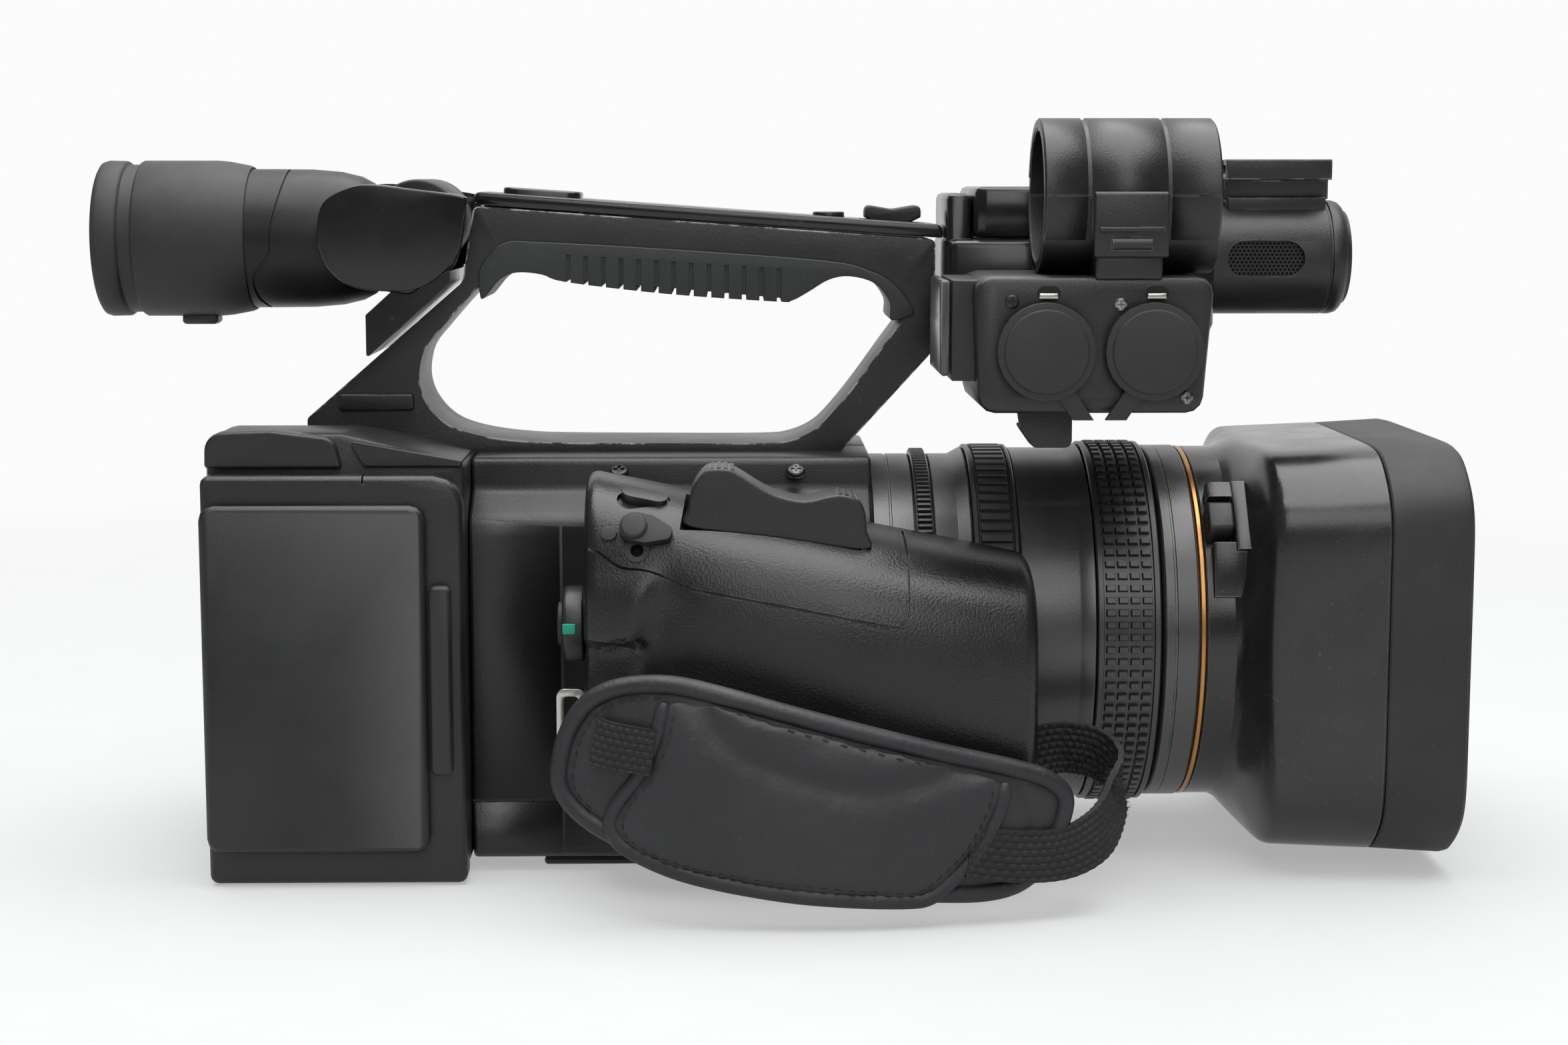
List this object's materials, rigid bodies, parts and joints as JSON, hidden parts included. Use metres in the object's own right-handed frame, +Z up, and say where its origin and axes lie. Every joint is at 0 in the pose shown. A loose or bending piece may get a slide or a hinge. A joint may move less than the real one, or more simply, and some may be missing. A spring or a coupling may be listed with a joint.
{
  "type": "camcorder",
  "caption": "Hand-held camcorder with top handle, tilting viewfinder, ringed zoom lens with square hood, audio inputs, microphone clamp and padded hand strap.",
  "frame": {"origin": "on the underside of the base plate, below the optical axis", "axes": "+X along the optical axis towards the subject, +Y to the side away from the hand grip, +Z up"},
  "size_m": [0.333, 0.1483, 0.1821],
  "materials": {
    "casing": "fine textured matt black",
    "bright_metal": "plain",
    "circuit_board": "green",
    "painted_casting": "black paint, worn to bare metal at the edges",
    "gloss_casing": "smooth gloss black",
    "rubber": "matt black",
    "glass": "dark coated",
    "clear_cover": "clear",
    "orange_ring": "orange anodised",
    "strap_leather": "soft grained dark grey",
    "webbing": "ribbed black"
  },
  "bodies": {
    "camera_body": {"body_shell_right": "casing", "body_shell_left": "casing", "base_plate": "bright_metal", "main_board": "circuit_board", "sensor_block": "bright_metal", "rear_housing": "casing", "media_bay": "casing", "battery_plate": "casing", "handle_frame": "painted_casting", "handle_top_cover": "gloss_casing", "handle_grip": "rubber", "evf_hinge_pin": "bright_metal", "evf_fork": "painted_casting", "front_housing": "casing", "mic_housing": "casing", "mic_grille_right": "bright_metal", "mic_grille_left": "bright_metal", "accessory_shoe": "painted_casting", "xlr_housing": "casing", "xlr_socket_1": "bright_metal", "xlr_socket_2": "bright_metal", "cable_hook": "rubber", "mic_holder_base": "casing", "lens_barrel": "casing", "lens_front_ring": "casing", "gold_ring": "orange_ring", "front_element": "glass", "hood_body": "casing", "hood_rim": "rubber", "grip_shell": "casing", "grip_top_cover": "casing", "strap_loop_rear": "bright_metal", "strap_pad": "strap_leather", "strap_webbing": "webbing"},
    "media_door": {"media_door": "casing"},
    "door_latch": {"door_latch": "casing"},
    "viewfinder": {"evf_tube": "gloss_casing", "eyecup": "rubber", "eyepiece_lens": "glass", "evf_screen": "glass"},
    "diopter": {"diopter_lever": "rubber"},
    "display": {"lcd_panel": "gloss_casing", "lcd_screen": "glass"},
    "focus_ring": {"focus_ring": "rubber"},
    "zoom_ring": {"zoom_ring": "rubber"},
    "iris_ring": {"iris_ring": "rubber"},
    "zoom_rocker": {"zoom_rocker": "casing"},
    "focus_button": {"focus_button": "rubber"},
    "rec_button": {"rec_button": "rubber"},
    "power_dial": {"power_dial": "casing"},
    "handle_lever": {"handle_zoom_lever": "rubber"},
    "handle_button": {"handle_rec_button": "rubber"},
    "cap_1": {"xlr_cap_1": "rubber"},
    "cap_2": {"xlr_cap_2": "rubber"},
    "holder_clamp": {"mic_holder_clamp": "casing"},
    "holder_latch": {"mic_holder_latch": "casing"},
    "hood_latch": {"hood_latch": "casing"},
    "audio_cover": {"audio_cover": "clear_cover"},
    "jack_plug": {"jack_plug": "rubber"}
  },
  "joints": [
    {"name": "media_door_swing", "type": "hinge", "parent": "camera_body", "child": "media_door", "pos_m": [-0.1176, -0.0524, 0.05], "axis": [0, 0, -1], "range_deg": [0, 100]},
    {"name": "door_latch_slide", "type": "slide", "parent": "media_door", "child": "door_latch", "axis": [1, 0, 0], "range_m": [0, 0.0015], "stiffness_N_per_m": 300},
    {"name": "viewfinder_tilt", "type": "hinge", "parent": "camera_body", "child": "viewfinder", "pos_m": [-0.0705, 0, 0.1576], "axis": [0, 1, 0], "range_deg": [0, 80]},
    {"name": "diopter_turn", "type": "hinge", "parent": "viewfinder", "child": "diopter", "pos_m": [-0.1315, 0, 0.1532], "axis": [1, 0, 0], "range_deg": [-12, 12]},
    {"name": "display_open", "type": "hinge", "parent": "camera_body", "child": "display", "pos_m": [0.09375, 0.0286, 0.1599], "axis": [-1, 0, 0], "range_deg": [0, 180]},
    {"name": "focus_turn", "type": "hinge", "parent": "camera_body", "child": "focus_ring", "pos_m": [0.0946, 0, 0.0555], "axis": [1, 0, 0], "continuous": true},
    {"name": "zoom_turn", "type": "hinge", "parent": "camera_body", "child": "zoom_ring", "pos_m": [0.0653, 0, 0.0555], "axis": [1, 0, 0], "range_deg": [-45, 45]},
    {"name": "iris_turn", "type": "hinge", "parent": "camera_body", "child": "iris_ring", "pos_m": [0.0515, 0, 0.0555], "axis": [1, 0, 0], "continuous": true},
    {"name": "zoom_rocker_tilt", "type": "hinge", "parent": "camera_body", "child": "zoom_rocker", "pos_m": [0.0165, -0.057, 0.09036], "axis": [0, 1, 0], "range_deg": [-7, 7], "stiffness_Nm_per_rad": 0.3},
    {"name": "focus_button_press", "type": "slide", "parent": "camera_body", "child": "focus_button", "axis": [-0.1224, 0.3898, -0.9127], "range_m": [0, 0.0008], "stiffness_N_per_m": 400},
    {"name": "rec_button_press", "type": "slide", "parent": "camera_body", "child": "rec_button", "axis": [1, 0, 0], "range_m": [0, 0.001], "stiffness_N_per_m": 400},
    {"name": "power_dial_turn", "type": "hinge", "parent": "camera_body", "child": "power_dial", "pos_m": [-0.0283, -0.055, 0.064], "axis": [1, 0, 0], "range_deg": [-30, 30]},
    {"name": "handle_lever_tilt", "type": "hinge", "parent": "camera_body", "child": "handle_lever", "pos_m": [0.047, 0, 0.15752], "axis": [0, 1, 0], "range_deg": [-6, 6], "stiffness_Nm_per_rad": 0.2},
    {"name": "handle_button_press", "type": "slide", "parent": "camera_body", "child": "handle_button", "axis": [0, 0, -1], "range_m": [0, 0.0008], "stiffness_N_per_m": 400},
    {"name": "cap_1_swing", "type": "hinge", "parent": "camera_body", "child": "cap_1", "pos_m": [0.08651, -0.0736, 0.1136], "axis": [1, 0, 0], "range_deg": [0, 110]},
    {"name": "cap_2_swing", "type": "hinge", "parent": "camera_body", "child": "cap_2", "pos_m": [0.09389, -0.0736, 0.1136], "axis": [1, 0, 0], "range_deg": [0, 110]},
    {"name": "holder_clamp_open", "type": "hinge", "parent": "camera_body", "child": "holder_clamp", "pos_m": [0.0775, -0.0324, 0.1667], "axis": [-1, 0, 0], "range_deg": [0, 95]},
    {"name": "holder_latch_open", "type": "hinge", "parent": "camera_body", "child": "holder_latch", "pos_m": [0.0885, -0.0723, 0.1518], "axis": [1, 0, 0], "range_deg": [0, 75]},
    {"name": "hood_latch_press", "type": "slide", "parent": "camera_body", "child": "hood_latch", "axis": [0, 0.7771, -0.6293], "range_m": [0, 0.001], "stiffness_N_per_m": 400},
    {"name": "audio_cover_open", "type": "hinge", "parent": "camera_body", "child": "audio_cover", "pos_m": [0.0555, -0.065, 0.144], "axis": [0, 1, 0], "range_deg": [0, 95]},
    {"name": "jack_plug_turn", "type": "hinge", "parent": "camera_body", "child": "jack_plug", "pos_m": [-0.00906, -0.06586, 0.08639], "axis": [-0.067, -0.8374, 0.5425], "range_deg": [-50, 50]}
  ]
}
